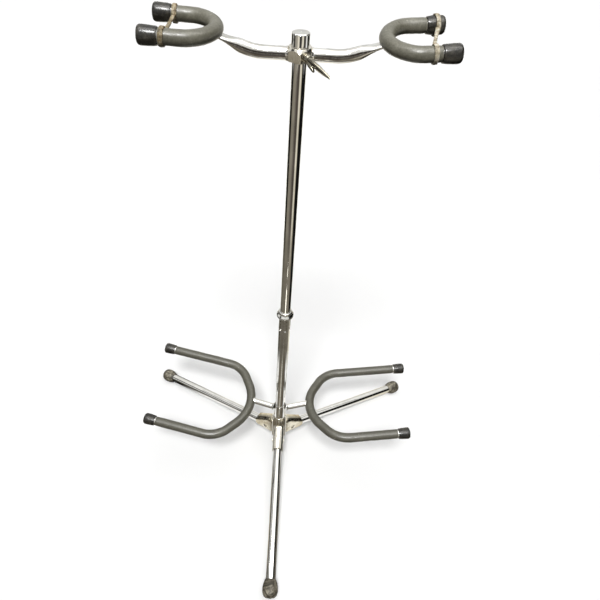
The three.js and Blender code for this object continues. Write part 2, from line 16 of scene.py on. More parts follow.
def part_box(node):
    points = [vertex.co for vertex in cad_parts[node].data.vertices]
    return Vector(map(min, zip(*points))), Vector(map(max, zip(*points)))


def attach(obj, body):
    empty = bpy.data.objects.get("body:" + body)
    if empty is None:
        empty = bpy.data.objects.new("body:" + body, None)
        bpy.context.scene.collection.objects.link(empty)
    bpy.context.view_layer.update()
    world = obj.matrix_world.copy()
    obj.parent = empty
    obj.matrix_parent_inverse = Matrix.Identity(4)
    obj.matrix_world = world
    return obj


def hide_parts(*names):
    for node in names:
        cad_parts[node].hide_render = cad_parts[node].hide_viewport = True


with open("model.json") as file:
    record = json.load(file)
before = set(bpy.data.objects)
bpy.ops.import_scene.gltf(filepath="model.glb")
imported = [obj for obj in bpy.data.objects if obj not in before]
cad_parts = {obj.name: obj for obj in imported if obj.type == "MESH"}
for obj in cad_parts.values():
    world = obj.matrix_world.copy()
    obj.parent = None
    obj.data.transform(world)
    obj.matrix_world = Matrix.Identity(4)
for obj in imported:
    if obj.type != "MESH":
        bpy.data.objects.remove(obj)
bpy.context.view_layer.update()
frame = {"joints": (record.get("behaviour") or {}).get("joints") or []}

MM = 0.001
RAD = math.radians

# ---- driving dimensions
# These repeat the CAD model's own, but the wing's blades and the camera are set from the
# photo. Heights come from the CAD boxes.

GAP = 0.3
WALL = 1.2
UPPER_TUBE = 19.05
LOWER_TUBE = 22.2
LEG_TUBE = 19.05
YOKE_TUBE = 17.0
HEX = 31.75

LEGS = {"front": -90, "rear_right": 30, "rear_left": 150}
BRACKET = {"width": 24, "wall": 1.9, "crest": 20, "reach": 58, "arch": 7}
BRACKET_TOE = {"top": 63.5, "length": 9, "lift": 5.5}
FOOT_LENGTH = 33
LEG_CROWN, LEG_FOOT_Z, LEG_FOOT_RADIUS, PIN_RADIUS = 59, 13.7, 338, 32
LEG_SLOPE = math.atan((LEG_CROWN - LEG_FOOT_Z) / LEG_FOOT_RADIUS)
LEG_RUN = (LEG_FOOT_RADIUS - PIN_RADIUS) / math.cos(LEG_SLOPE)
FOOT_START = LEG_RUN - FOOT_LENGTH / 2
SLOT = {"width": 5, "bottom": 403, "turn": 8, "cuts": 3}

CRADLE = {
    "radius": 84.7, "turn": 36.1, "flank": 21.7, "corner_radius": 60.3, "bare": 2.4,
    "left": {"apex": (68.5, 141), "tip": 1.8, "yaw": 12.5, "roll": 6.7,
             "length": {"front": 211, "rear": 239}, "weld": (67, 14.4, 142.5)},
    "right": {"apex": (66.4, 149.2), "tip": 2.6, "yaw": 7.1, "roll": -4.4,
              "length": {"front": 204.5, "rear": 237.5}, "weld": (66, 10.4, 148.2)},
}
NECK = {
    "radius": 44.5, "turn": 59.5, "flank": 0, "corner_radius": 29.9, "bare": 0.8,
    "left": {"apex": (107, 942.5), "tip": 1.6, "yaw": 0.1, "roll": 0.5,
             "length": {"front": 87.8, "rear": 86.8}},
    "right": {"apex": (109.1, 941.4), "tip": 2.9, "yaw": 6, "roll": 4,
              "length": {"front": 83.2, "rear": 84}},
}
ARM = {"bend": 61, "rise": 22, "z": 918, "pinch_start": 14, "pinch": 0.42, "spread": 1.08}
CRADLE_ARM = {"radius": 6.35, "root": (5, -4.5, 144.5), "block": 12.5}
SLEEVE_RADIUS = 9.9
CAP = {"length": 24.3, "tip": 11.9, "mouth": 10.9}
BAND = {
    "width": 6,
    "thickness": 2.1,
    "left": {"near": 58, "far": 58},
    "right": {"near": 50, "far": 72.3},
}
WING = {
    "azimuth": -60,
    "z": 919,
    "turn": -168,
    "long": {"length": 49.5, "lean": 11, "width": 15, "turn": 25},
    "short": {"length": 19, "lean": 10.5, "width": 8, "turn": -10},
}
CAMERA = {
    "place": (-1.56, -721.61, 1177.98),
    "yaw": 1.29,
    "down": 43.23,
    "tilt": -4.02,
    "lens": 32.9,
    "shift": (0.0090, -0.0138),
}

post_low, post_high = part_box("upper_post_tube")
AXIS = Vector(((post_low.x + post_high.x) / 2, (post_low.y + post_high.y) / 2, 0))


def heights(node):
    """Lowest and highest z of a CAD node, in millimetres."""
    low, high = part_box(node)
    return low.z / MM, high.z / MM


# ---- mesh building


class Shape:
    """Points in millimetres and the faces between them."""

    def __init__(self):
        self.points = []
        self.faces = []

    def skin(self, rows, ring=True, closed=False):
        """Faces between rows of points. `ring` joins each row's end to its start, and
        `closed` joins the last row to the first."""
        start = len(self.points)
        across = len(rows[0])
        for row in rows:
            self.points.extend(row)
        for i in range(len(rows) if closed else len(rows) - 1):
            below = start + i * across
            above = start + (i + 1) % len(rows) * across
            for j in range(across if ring else across - 1):
                k = (j + 1) % across
                self.faces.append((below + j, below + k, above + k, above + j))
        return self

    def lid(self, row):
        """One flat face across a ring of points."""
        start = len(self.points)
        self.points.extend(row)
        self.faces.append(tuple(range(start, start + len(row))))
        return self


def placed(name, data):
    """A new object for the data, linked into the scene."""
    obj = bpy.data.objects.new(name, data)
    bpy.context.scene.collection.objects.link(obj)
    return obj


def made(name, shape, matrix=Matrix(), sharp=38):
    """The shape as a clean mesh object, smooth except at edges sharper than `sharp`."""
    mesh = bpy.data.meshes.new(name)
    points = [AXIS + matrix @ Vector(p) * MM for p in shape.points]
    mesh.from_pydata(points, [], shape.faces)
    body = bmesh.new()
    body.from_mesh(mesh)
    bmesh.ops.remove_doubles(body, verts=body.verts, dist=2e-6)
    bmesh.ops.dissolve_degenerate(body, edges=body.edges, dist=1e-6)
    bmesh.ops.recalc_face_normals(body, faces=body.faces)
    body.to_mesh(mesh)
    body.free()
    obj = placed(name, mesh)
    smoothed(obj, sharp)
    return obj


def smoothed(obj, sharp):
    mesh = obj.data
    mesh.polygons.foreach_set("use_smooth", [True] * len(mesh.polygons))
    mesh.set_sharp_from_angle(angle=RAD(sharp))
    obj.modifiers.new("weighted", "WEIGHTED_NORMAL").keep_sharp = True


def spin(degrees, axis):
    return Matrix.Rotation(RAD(degrees), 4, axis)


def around(count):
    """Angles evenly round a circle."""
    return [2 * math.pi * k / count for k in range(count)]


def softened(profile, radius, steps=3, closed=False):
    """The [radius, height] profile with its corners rounded."""
    count = len(profile)
    points = []
    for i, corner in enumerate(profile):
        if not closed and i in (0, count - 1):
            points.append(corner)
            continue
        here = Vector(corner)
        before = Vector(profile[i - 1]) - here
        after = Vector(profile[(i + 1) % count]) - here
        turn = math.pi - before.angle(after)
        if turn < RAD(8):
            points.append(corner)
            continue
        cut = min(radius, 0.45 * before.length, 0.45 * after.length)
        a = here + before.normalized() * cut
        b = here + after.normalized() * cut
        for k in range(steps + 1):
            t = k / steps
            points.append(tuple(a * (1 - t) ** 2 + here * 2 * t * (1 - t) + b * t * t))
    return points


def lathed(profile, sides=72, closed=False):
    """A solid of revolution about Z from (radius, z) points."""
    ways = [(math.cos(angle), math.sin(angle)) for angle in around(sides)]
    rows = [[Vector((radius * x, radius * y, z)) for x, y in ways] for radius, z in profile]
    return Shape().skin(rows, closed=closed)


def ring_of(outline, rounding, steps=4, sides=96):
    """A hollow turned solid from its whole outline, with the corners rounded."""
    return lathed(softened(outline, rounding, steps, closed=True), sides, closed=True)


def tube(radius, bottom, top, sides=96):
    inner = radius - WALL
    outline = [(inner, bottom), (radius, bottom), (radius, top), (inner, top)]
    return ring_of(outline, 0.35, 3, sides)


def blunt(angle, power):
    """A point on a rounded square of half-width 1. A lower power makes it squarer."""
    return [math.copysign(abs(v) ** power, v) for v in (math.cos(angle), math.sin(angle))]


def swept(stops, sides):
    """A round bar along (point, tangent, radius) stops."""
    rows = []
    for point, tangent, radius in stops:
        across = Vector((0, 0, 1)).cross(tangent).normalized()
        lift = tangent.cross(across).normalized()
        section = [(radius * math.cos(a), radius * math.sin(a)) for a in around(sides)]
        rows.append([point + across * a + lift * b for a, b in section])
    return Shape().skin(rows).lid(rows[0]).lid(rows[-1])


def merged(*shapes):
    whole = Shape()
    for shape in shapes:
        start = len(whole.points)
        whole.points.extend(shape.points)
        whole.faces.extend(tuple(start + k for k in face) for face in shape.faces)
    return whole


def turned_copy(shape, matrix):
    copy = Shape()
    copy.points = [matrix @ Vector(p) for p in shape.points]
    copy.faces = list(shape.faces)
    return copy


def along_x(shape):
    """A solid built about Z, turned to lie about X."""
    return turned_copy(shape, spin(90, "Y"))


# ---- material building


class Nodes:
    """A node tree, cleared and built again."""

    def __init__(self, tree):
        tree.nodes.clear()
        self.tree = tree

    def node(self, kind, **settings):
        new = self.tree.nodes.new("ShaderNode" + kind)
        for key, value in settings.items():
            setattr(new, key, value)
        return new

    def link(self, a, b):
        self.tree.links.new(a, b)

    def feed(self, value, socket):
        """Gives the socket a number, a colour or another socket's value."""
        if isinstance(value, (int, float)):
            socket.default_value = value
        elif isinstance(value, tuple):
            socket.default_value = (*value, 1)
        else:
            self.link(value, socket)

    def maths(self, operation, *values):
        node = self.node("Math", operation=operation)
        for value, socket in zip(values, node.inputs):
            self.feed(value, socket)
        return node.outputs["Value"]

    def ramp(self, fac, *stops):
        """Stops are (position, grey or colour)."""
        node = self.node("ValToRGB")
        elements = node.color_ramp.elements
        while len(elements) < len(stops):
            elements.new(0.5)
        for element, (position, value) in zip(elements, stops):
            element.position = position
            colour = value if isinstance(value, tuple) else (value,) * 3
            element.color = (*colour, 1)
        self.link(fac, node.inputs["Fac"])
        return node.outputs["Color"]

    def ramp_between(self, low, high, socket, *stops):
        """A ramp whose stops are set against values from `low` to `high`."""
        spread = self.node("MapRange")
        spread.inputs["From Min"].default_value = low
        spread.inputs["From Max"].default_value = high
        self.link(socket, spread.inputs["Value"])
        scaled = [((value - low) / (high - low), colour) for value, colour in stops]
        return self.ramp(spread.outputs["Result"], *scaled)

    def mix(self, fac, a, b, blend="MIX"):
        node = self.node("Mix", data_type="RGBA", blend_type=blend)
        sockets = {s.identifier: s for s in node.inputs}
        for key, value in (("Factor_Float", fac), ("A_Color", a), ("B_Color", b)):
            self.feed(value, sockets[key])
        return next(s for s in node.outputs if s.identifier == "Result_Color")


class Material(Nodes):
    """A material made of one shader, whose output is called `result`."""

    def __init__(self, name, shader, result):
        self.material = bpy.data.materials.new(name)
        self.material.use_nodes = True
        super().__init__(self.material.node_tree)
        output = self.node("OutputMaterial")
        self.shader = self.node(shader)
        self.link(self.shader.outputs[result], output.inputs["Surface"])


class Finish(Material):
    """A procedural material on a Principled shader, patterned in object space."""

    def __init__(self, name, metallic=0.0, **constants):
        super().__init__(name, "BsdfPrincipled", "BSDF")
        self.shader.inputs["Metallic"].default_value = metallic
        for key, value in constants.items():
            self.shader.inputs[key.replace("_", " ")].default_value = value
        self.coords = self.node("TexCoord").outputs["Object"]

    def noise(self, scale, detail=3.0, roughness=0.5, stretch=None, warp=0.0):
        vector = self.coords
        if stretch:
            mapping = self.node("Mapping")
            mapping.inputs["Scale"].default_value = stretch
            self.link(vector, mapping.inputs["Vector"])
            vector = mapping.outputs["Vector"]
        pattern = self.node("TexNoise")
        pattern.inputs["Scale"].default_value = scale
        pattern.inputs["Detail"].default_value = detail
        pattern.inputs["Roughness"].default_value = roughness
        pattern.inputs["Distortion"].default_value = warp
        self.link(vector, pattern.inputs["Vector"])
        return pattern.outputs["Fac"]

    def bump(self, height, distance, strength=1.0, after=None):
        node = self.node("Bump")
        node.inputs["Distance"].default_value = distance
        node.inputs["Strength"].default_value = strength
        self.link(height, node.inputs["Height"])
        if after:
            self.link(after, node.inputs["Normal"])
        return node.outputs["Normal"]

    def wire(self, **sockets):
        for key, socket in sockets.items():
            self.link(socket, self.shader.inputs[key.replace("_", " ")])
        return self.material


def plated(name, dull, bright, smooth, hazy, ripple, pits=0.72):
    """Plated steel: patchy brightness, brown pin-pricks, haze, fine scratches and the slow
    ripple of polished tube."""
    f = Finish(name, metallic=1.0)
    patches = f.noise(24, 5, 0.6)
    colour = f.ramp(patches, (0.35, dull), (0.65, bright))
    specks = f.ramp(f.noise(1400, 2, 0.5), (pits, 0.0), (pits + 0.04, 1.0))
    spotted = f.ramp(f.noise(60, 2, 0.5), (0.5, 0.0), (0.62, 1.0))
    where = f.mix(1.0, specks, spotted, "MULTIPLY")
    colour = f.mix(where, colour, (0.13, 0.085, 0.05))
    haze = f.ramp(f.noise(85, 6, 0.65), (0.35, smooth), (0.7, hazy))
    scratches = f.ramp(f.noise(900, 2, 0.5, stretch=(1, 1, 0.05)), (0.6, 0.0), (0.66, 1.0))
    roughness = f.mix(scratches, haze, (hazy + 0.06,) * 3)
    waves = f.bump(f.noise(45, 2, 0.4), 0.0006, ripple)
    grain = f.bump(f.noise(520, 3, 0.6), 0.00006, ripple, after=waves)
    normal = f.bump(scratches, 0.00002, 0.4, after=grain)
    return f.wire(Base_Color=colour, Roughness=roughness, Normal=normal)


def vinyl_finish(name, tone):
    """Faded grey vinyl tubing, with lighter scuffs, dark grime and a few pale nicks."""
    f = Finish(name, Specular_IOR_Level=0.7)

    def shade(*colour):
        return tuple(tone * channel for channel in colour)

    clouds = f.noise(42, 5, 0.62, warp=0.4)
    colour = f.ramp(clouds, (0.3, shade(0.115, 0.110, 0.080)), (0.55, shade(0.180, 0.172, 0.130)),
                    (0.74, shade(0.28, 0.27, 0.21)))
    mottle = f.noise(420, 4, 0.6)
    grime = f.ramp(mottle, (0.35, shade(0.09, 0.084, 0.060)), (0.65, shade(0.26, 0.25, 0.195)))
    colour = f.mix(0.4, colour, grime)
    nicks = f.ramp(f.noise(260, 1, 0.4), (0.76, 0.0), (0.79, 1.0))
    colour = f.mix(nicks, colour, (0.30, 0.29, 0.24))
    roughness = f.ramp(f.noise(120, 5, 0.6), (0.3, 0.27), (0.7, 0.42))
    lumps = f.bump(f.noise(90, 3, 0.5), 0.0008, 0.4)
    normal = f.bump(f.noise(1500, 3, 0.6), 0.00012, 0.5, after=lumps)
    return f.wire(Base_Color=colour, Roughness=roughness, Normal=normal)


def cap_finish():
    """Glossy black moulded rubber with dust in its grain."""
    f = Finish("cap_rubber", Specular_IOR_Level=0.55)
    dust = f.ramp(f.noise(75, 6, 0.7), (0.46, (0.010, 0.009, 0.007)),
                  (0.74, (0.080, 0.072, 0.056)))
    roughness = f.ramp(f.noise(160, 5, 0.65), (0.3, 0.16), (0.7, 0.34))
    lumps = f.bump(f.noise(140, 3, 0.5), 0.0007, 0.35)
    normal = f.bump(f.noise(1800, 2, 0.5), 0.00008, 0.35, after=lumps)
    return f.wire(Base_Color=dust, Roughness=roughness, Normal=normal)


def foot_finish():
    """Scuffed grey-brown rubber with pale smears."""
    f = Finish("foot_rubber", Specular_IOR_Level=0.45)
    smears = f.noise(70, 5, 0.6, warp=1.2)
    colour = f.ramp(smears, (0.36, (0.025, 0.021, 0.015)), (0.5, (0.080, 0.070, 0.050)),
                    (0.66, (0.34, 0.31, 0.24)))
    roughness = f.ramp(f.noise(150, 5, 0.6), (0.3, 0.4), (0.7, 0.72))
    lumps = f.bump(f.noise(110, 3, 0.5), 0.0012, 0.5)
    normal = f.bump(f.noise(1200, 3, 0.6), 0.00015, 0.5, after=lumps)
    return f.wire(Base_Color=colour, Roughness=roughness, Normal=normal)


def latex_finish(name, dark, middle, pale):
    """Perished tan latex, darker in its cracks."""
    f = Finish(name, Specular_IOR_Level=0.4, Subsurface_Weight=0.05)
    stains = f.noise(170, 5, 0.65, warp=0.6)
    colour = f.ramp(stains, (0.36, dark), (0.5, middle), (0.64, pale))
    roughness = f.ramp(f.noise(300, 4, 0.6), (0.3, 0.45), (0.7, 0.75))
    cracks = f.bump(f.noise(700, 4, 0.7), 0.0004, 0.7)
    return f.wire(Base_Color=colour, Roughness=roughness, Normal=cracks)


def nylon_finish():
    """Yellowed nylon."""
    f = Finish("nylon", Specular_IOR_Level=0.4, Subsurface_Weight=0.1)
    colour = f.ramp(f.noise(150, 4, 0.6), (0.3, (0.55, 0.5, 0.4)), (0.7, (0.76, 0.72, 0.62)))
    roughness = f.ramp(f.noise(400, 3, 0.5), (0.3, 0.4), (0.7, 0.6))
    return f.wire(Base_Color=colour, Roughness=roughness, Normal=f.bump(roughness, 0.0001))


CHROME = plated("chrome", (0.76, 0.75, 0.72), (0.93, 0.92, 0.90), 0.04, 0.09, 0.10)
WORN = plated("worn_chrome", (0.55, 0.53, 0.49), (0.95, 0.94, 0.92), 0.06, 0.15, 0.75)
NICKEL = plated("nickel", (0.70, 0.66, 0.57), (0.94, 0.91, 0.83), 0.10, 0.22, 0.3, 0.7)
AGED = plated("aged_nickel", (0.44, 0.37, 0.24), (0.98, 0.93, 0.79), 0.13, 0.28, 0.8, 0.64)
SATIN = plated("satin_chrome", (0.15, 0.14, 0.105), (0.50, 0.47, 0.39), 0.14, 0.30, 0.6)
VINYL = vinyl_finish("sleeve_vinyl", 0.88)
# A darker copy of the same sleeve vinyl for the cradle sleeves: painted shade, for the dimmer light
# that reaches them low on the stand.
SHADED_VINYL = vinyl_finish("sleeve_vinyl_painted_shade", 0.52)
CAP_RUBBER = cap_finish()
FOOT_RUBBER = foot_finish()
OLD_LATEX = latex_finish(
    "band_latex_old", (0.09, 0.065, 0.035), (0.27, 0.21, 0.12), (0.62, 0.53, 0.38)
)
PALE_LATEX = latex_finish(
    "band_latex", (0.20, 0.165, 0.11), (0.52, 0.45, 0.33), (0.80, 0.74, 0.62)
)
NYLON = nylon_finish()


def fitted(obj, material, body, *nodes):
    """Gives the piece its finish and its body, and lets it stand for its CAD nodes."""
    obj.data.materials.clear()
    obj.data.materials.append(material)
    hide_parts(*nodes)
    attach(obj, body)


# ---- hub, head and post


def hex_block(bottom, shoulder, top, top_radius, bore):
    """A chamfered hexagonal block with a bore. Its flats face along X, and its edges are
    the true curves in which the chamfer cones cut the flats."""
    corner = HEX / 2 / math.cos(math.pi / 6)
    chamfer = 1.1
    rise = (top - shoulder) / (corner - top_radius)
    rows = [[] for _ in range(8)]
    for angle in around(144):
        off_flat = (angle + math.pi / 6) % (math.pi / 3) - math.pi / 6
        flat = min(HEX / 2 / math.cos(off_flat), corner - 0.35)
        low = min(flat, corner - chamfer)
        start = bottom + 0.3 + max(0, flat - (corner - chamfer)) * 0.9
        finish = shoulder + (corner - flat) * rise
        way = Vector((math.cos(angle), math.sin(angle), 0))
        levels = ((bore, bottom + 0.4), (bore + 0.5, bottom), (low - 0.3, bottom), (flat, start),
                  (flat, finish), (top_radius, top), (bore + 0.4, top), (bore, top - 0.4))
        for row, (radius, z) in zip(rows, levels):
            row.append(way * radius + Vector((0, 0, z)))
    return Shape().skin(rows, closed=True)


def bevelled(obj, width=0.35, segments=2, angle=28):
    """Rounds the sharp edges, ahead of the weighted normals."""
    bevel = obj.modifiers.new("bevel", "BEVEL")
    bevel.width = width * MM
    bevel.segments = segments
    bevel.limit_method = "ANGLE"
    bevel.angle_limit = RAD(angle)
    bevel.miter_outer = "MITER_ARC"
    obj.modifiers.move(len(obj.modifiers) - 1, 0)
    return obj


def hub_and_bolt():
    low, high = heights("hub_block")
    block = hex_block(low, high - 10.5, high, 13.1, LOWER_TUBE / 2 + GAP)
    fitted(bevelled(made("hub", block, sharp=24)), NICKEL, "base", "hub_block")

    low, high = heights("hub_bolt")
    head = lathed([(0, low), (4.6, low), (5.6, low + 0.7), (5.7, low + 4), (0, low + 4)], 6)
    shank = lathed([(0, low + 3), (2.8, low + 3), (2.8, high - 0.5), (2.3, high), (0, high)], 32)
    bolt = made("centre_bolt", merged(head, shank), sharp=30)
    fitted(bevelled(bolt, 0.25), CHROME, "base", "hub_bolt")

    low, high = heights("hub_washer")
    washer = ring_of([(3.15, low), (9, low), (9, high), (3.15, high)], 0.3, 3, 64)
    fitted(made("washer", washer), CHROME, "base", "hub_washer")

    low, high = heights("post_plug")
    radius = LOWER_TUBE / 2 - WALL - GAP
    plug = ring_of([(3.15, low), (radius, low), (radius, high), (3.15, high)], 0.6, 3, 48)
    fitted(made("threaded_plug", plug), NICKEL, "base", "post_plug")


def cut_by(obj, cutter):
    """Takes the cutter's shape out of the object, and removes the cutter. The object loses
    its modifiers, so it has to be smoothed again."""
    obj.modifiers.clear()
    boolean = obj.modifiers.new("cut", "BOOLEAN")
    boolean.operation = "DIFFERENCE"
    boolean.solver = "EXACT"
    boolean.object = cutter
    bpy.context.view_layer.update()
    graph = bpy.context.evaluated_depsgraph_get()
    mesh = bpy.data.meshes.new_from_object(obj.evaluated_get(graph))
    obj.modifiers.clear()
    obj.data = mesh
    bpy.data.objects.remove(cutter)


def saw_cut(turn):
    """A slab with a round foot, as wide as a slot, through both walls of the tube."""
    top = heights("lower_post_tube")[1] + 5
    half = SLOT["width"] / 2
    outline = [(half, top), (half, SLOT["bottom"])]
    steps = 12
    for k in range(1, steps):
        angle = -math.pi * k / steps
        outline.append((half * math.cos(angle), SLOT["bottom"] + half * math.sin(angle)))
    outline += [(-half, SLOT["bottom"]), (-half, top)]
    reach = LOWER_TUBE
    rows = [[Vector((x, y, z)) for x, z in outline] for y in (-reach, reach)]
    slab = Shape().skin(rows).lid(rows[0]).lid(rows[1])
    return made("saw", slab, spin(turn, "Z"))


def post():
    low, high = heights("lower_post_tube")
    lower = made("lower_tube", tube(LOWER_TUBE / 2, low, high))
    for cut in range(SLOT["cuts"]):
        cut_by(lower, saw_cut(SLOT["turn"] + 180 * cut / SLOT["cuts"]))
    smoothed(lower, 30)
    fitted(lower, CHROME, "base", "lower_post_tube")

    low, high = heights("upper_post_tube")
    upper = made("upper_tube", tube(UPPER_TUBE / 2, low, high))
    fitted(upper, CHROME, "upper_post", "upper_post_tube")

    low, high = heights("locking_collar")
    bore, neck_bore, step = LOWER_TUBE / 2 + GAP, UPPER_TUBE / 2 + 0.35, high - 5.7
    outline = [(bore, low), (14.0, low), (15.8, low + 2.2), (15.8, low + 5.6), (12.5, low + 8.8),
               (12.0, low + 9.6), (12.4, low + 10.6), (12.4, high - 1.2), (11.2, high),
               (neck_bore, high), (neck_bore, step), (bore, step)]
    fitted(made("collar_nut", ring_of(outline, 0.7)), CHROME, "collar", "locking_collar")

    low, high = heights("guide_plug")
    outline = [(0, low), (8.8, low), (9.6, low + 1), (9.6, low + 6), (8, low + 6), (8, high), (0, high)]
    guide = lathed(softened(outline, 0.4), 48)
    fitted(made("slide_guide", guide), NYLON, "upper_post", "guide_plug")

    low, high = heights("top_cap")
    bore = UPPER_TUBE / 2 + GAP
    outline = [(bore, low + 0.4), (bore + 0.4, low), (11.7, low), (11.7, high - 1.5),
               (10.6, high - 0.35), (9.2, high - 0.5), (0, high), (0, high - 10.2),
               (bore, high - 10.2)]
    fitted(made("post_cap", ring_of(outline, 0.5)), CHROME, "upper_post", "top_cap")


def head_block():
    low, high = heights("head_block")
    block = made("head", hex_block(low, high - 5.5, high, 14.3, UPPER_TUBE / 2 + 0.35), sharp=24)
    fitted(bevelled(block), NICKEL, "head", "head_block")


# ---- legs


def leg_line(side):
    """The leg's place: a matrix with the hinge pin at its origin and X along the tube."""
    joint = next(j for j in frame["joints"] if j["name"] == f"leg_fold_{side}")
    pin = (Vector(joint["pos_m"]) - AXIS) / MM
    outward = spin(LEGS[side], "Z")
    return Matrix.Translation(pin) @ outward @ Matrix.Rotation(LEG_SLOPE, 4, "Y")


def curved(points, steps=4):
    """A smooth curve through (radius, height) points."""
    result = []
    last = len(points) - 1
    for i in range(last):
        a, b, c, d = (Vector(points[min(max(k, 0), last)]) for k in (i - 1, i, i + 1, i + 2))
        for k in range(steps):
            t = k / steps
            cubic = 3 * (b - c) + d - a
            result.append(tuple(b + ((c - a) * t + (2 * a - 5 * b + 4 * c - d) * t * t
                                     + cubic * t ** 3) / 2))
    return result + [points[-1]]


def foot_shape():
    """A turned ball-like shoe about X, from its mouth to its closed end."""
    bore = LEG_TUBE / 2 + 0.1
    swell = [(11.1, 0.4), (12.0, 2.6), (13.3, 6), (14.5, 10.5), (15.25, 16), (15.1, 21),
             (14.2, 25.2), (12.7, 28.4), (10.4, 30.8), (7.2, 32.3), (3.6, 32.9), (0, 33)]
    profile = [(bore, 22), (bore, 0.8), (bore + 0.4, 0), (10.7, 0)]
    return along_x(lathed(profile + curved(swell), 64))


def leg(side):
    matrix = leg_line(side)
    body = f"leg_{side}"
    pipe = along_x(tube(LEG_TUBE / 2, -9, FOOT_START + 24.5, 72))
    fitted(made(f"tube_{side}", pipe, matrix), CHROME, body, f"leg_tube_{side}")

    shoe = made(f"shoe_{side}", foot_shape(), matrix @ Matrix.Translation((FOOT_START, 0, 0)))
    for vertex in shoe.data.vertices:
        vertex.co += vertex.co.normalized() * 0.0002 * noise.noise(vertex.co * 90)
        vertex.co.z = max(vertex.co.z, 0.0)
    fitted(shoe, FOOT_RUBBER, body, f"foot_{side}")


def bracket(side):
    """A folded sheet that straddles the hub's corner and arches over the leg's root."""
    width, wall, arch = BRACKET["width"], BRACKET["wall"], BRACKET["arch"]
    low, top = heights(f"leg_bracket_{side}")
    crest, reach = BRACKET["crest"], BRACKET["reach"]
    fall = (top - BRACKET_TOE["top"]) / (reach - crest)
    stations = 40

    def crown(x):
        """Height of the folded top, its crest eased."""
        ease = 5
        if x > crest + ease:
            return top - (x - crest) * fall
        return top - fall * max(0, x - crest + ease) ** 2 / (4 * ease)

    def foot_of(x):
        """Height of the side plates' lower edge, rounded up at the toe."""
        length, lift = BRACKET_TOE["length"], BRACKET_TOE["lift"]
        past = max(0, x - (reach - length)) / length
        return low + lift * (1 - math.sqrt(max(0, 1 - past * past)))

    def row(i, inset):
        points = []
        half = width / 2 - inset
        rise = arch - inset
        arc = 14
        profile = [(half, 0.0), (half, 0.33), (half, 0.66)]
        for k in range(arc + 1):
            angle = math.pi * k / arc
            profile.append((half * math.cos(angle), 1 + math.sin(angle)))
        profile += [(-half, 0.66), (-half, 0.33), (-half, 0.0)]
        for y, level in profile:
            inner = (HEX / 2 + GAP) / math.cos(math.pi / 6) - abs(y) * math.tan(math.pi / 6)
            x = inner + (reach - inner) * i / stations
            base, shoulder = foot_of(x), crown(x) - arch
            z = base + (shoulder - base) * level if level <= 1 else shoulder + rise * (level - 1)
            points.append(Vector((x, y, z)))
        return points

    outer = [row(i, 0) for i in range(stations + 1)]
    inner = [row(i, wall) for i in range(stations + 1)]
    shape = Shape().skin(outer, ring=False)
    shape.skin([list(reversed(r)) for r in inner], ring=False)
    for a, b in ((outer[0], inner[0]), (outer[-1], inner[-1])):
        shape.skin([a, b], ring=False)
    for edge in (0, -1):
        shape.skin([[r[edge] for r in outer], [r[edge] for r in inner]], ring=False)
    turn = spin(LEGS[side], "Z")
    sheet = made(f"bracket_{side}", shape, turn, sharp=40)
    finish = NICKEL if side == "front" else AGED
    fitted(bevelled(sheet, 0.5, 3, 40), finish, "base", f"leg_bracket_{side}")

    half = width / 2 + GAP
    end = half + 1.8
    profile = [(0, -end), (1.8, -end + 0.1), (3.4, -end + 0.5), (4.6, -half - 0.5), (4.7, -half),
               (3, -half), (3, half), (4.7, half), (4.6, half + 0.5), (3.4, end - 0.5),
               (1.8, end - 0.1), (0, end)]
    rivet = turned_copy(lathed(profile, 40), spin(90, "X"))
    place = turn @ Matrix.Translation((PIN_RADIUS, 0, LEG_CROWN - PIN_RADIUS * math.tan(LEG_SLOPE)))
    fitted(made(f"rivet_{side}", rivet, place), NICKEL, "base", f"hinge_pin_{side}")


# ---- padded yokes


def yoke_matrix(spec, side):
    """The yoke's frame: its apex at the origin and X out along its prongs."""
    across = 1 if side == "right" else -1
    yaw = spec["yaw"] if side == "right" else 180 - spec["yaw"]
    return (
        Matrix.Translation((across * spec["apex"][0], 0, spec["apex"][1]))
        @ spin(yaw, "Z")
        @ spin(-spec["tip"], "Y")
        @ spin(across * spec["roll"], "X")
    )


def half_outline(yoke, step=5):
    """(x, y, heading) along one half of a yoke. The heading turns from +Y to +X."""
    line = [(0.0, 0.0, 0.0)]

    def bend(radius, finish):
        x, y, start = line[-1]
        centre = (x + radius * math.cos(start), y - radius * math.sin(start))
        count = max(6, round(radius * (finish - start) / step))
        for k in range(1, count + 1):
            heading = start + (finish - start) * k / count
            across, along = radius * math.cos(heading), radius * math.sin(heading)
            line.append((centre[0] - across, centre[1] + along, heading))

    turn = RAD(yoke["turn"])
    bend(yoke["radius"], turn)
    x, y, _ = line[-1]
    count = round(yoke["flank"] / step)
    for k in range(1, count + 1):
        run = yoke["flank"] * k / count
        line.append((x + run * math.sin(turn), y + run * math.cos(turn), turn))
    bend(yoke["corner_radius"], math.pi / 2)
    return line


def half_width(yoke):
    return half_outline(yoke)[-1][1]


def yoke_stations(yoke, side, short, step):
    """(point, tangent) pairs from the end of one prong round to the end of the other, each
    prong stopping `short` of its full length."""
    half = half_outline(yoke, step)
    x, y, heading = half[-1]

    def with_prong(place):
        run = yoke[side]["length"][place] - short - x
        count = max(2, round(run / step))
        return half + [(x + run * k / count, y, heading) for k in range(1, count + 1)]

    plus, minus = ("rear", "front") if side == "right" else ("front", "rear")
    back = [(a, -b, -turn) for a, b, turn in reversed(with_prong(minus)[1:])]
    return [
        (Vector((a, b, 0)), Vector((math.sin(turn), math.cos(turn), 0)))
        for a, b, turn in back + with_prong(plus)
    ]


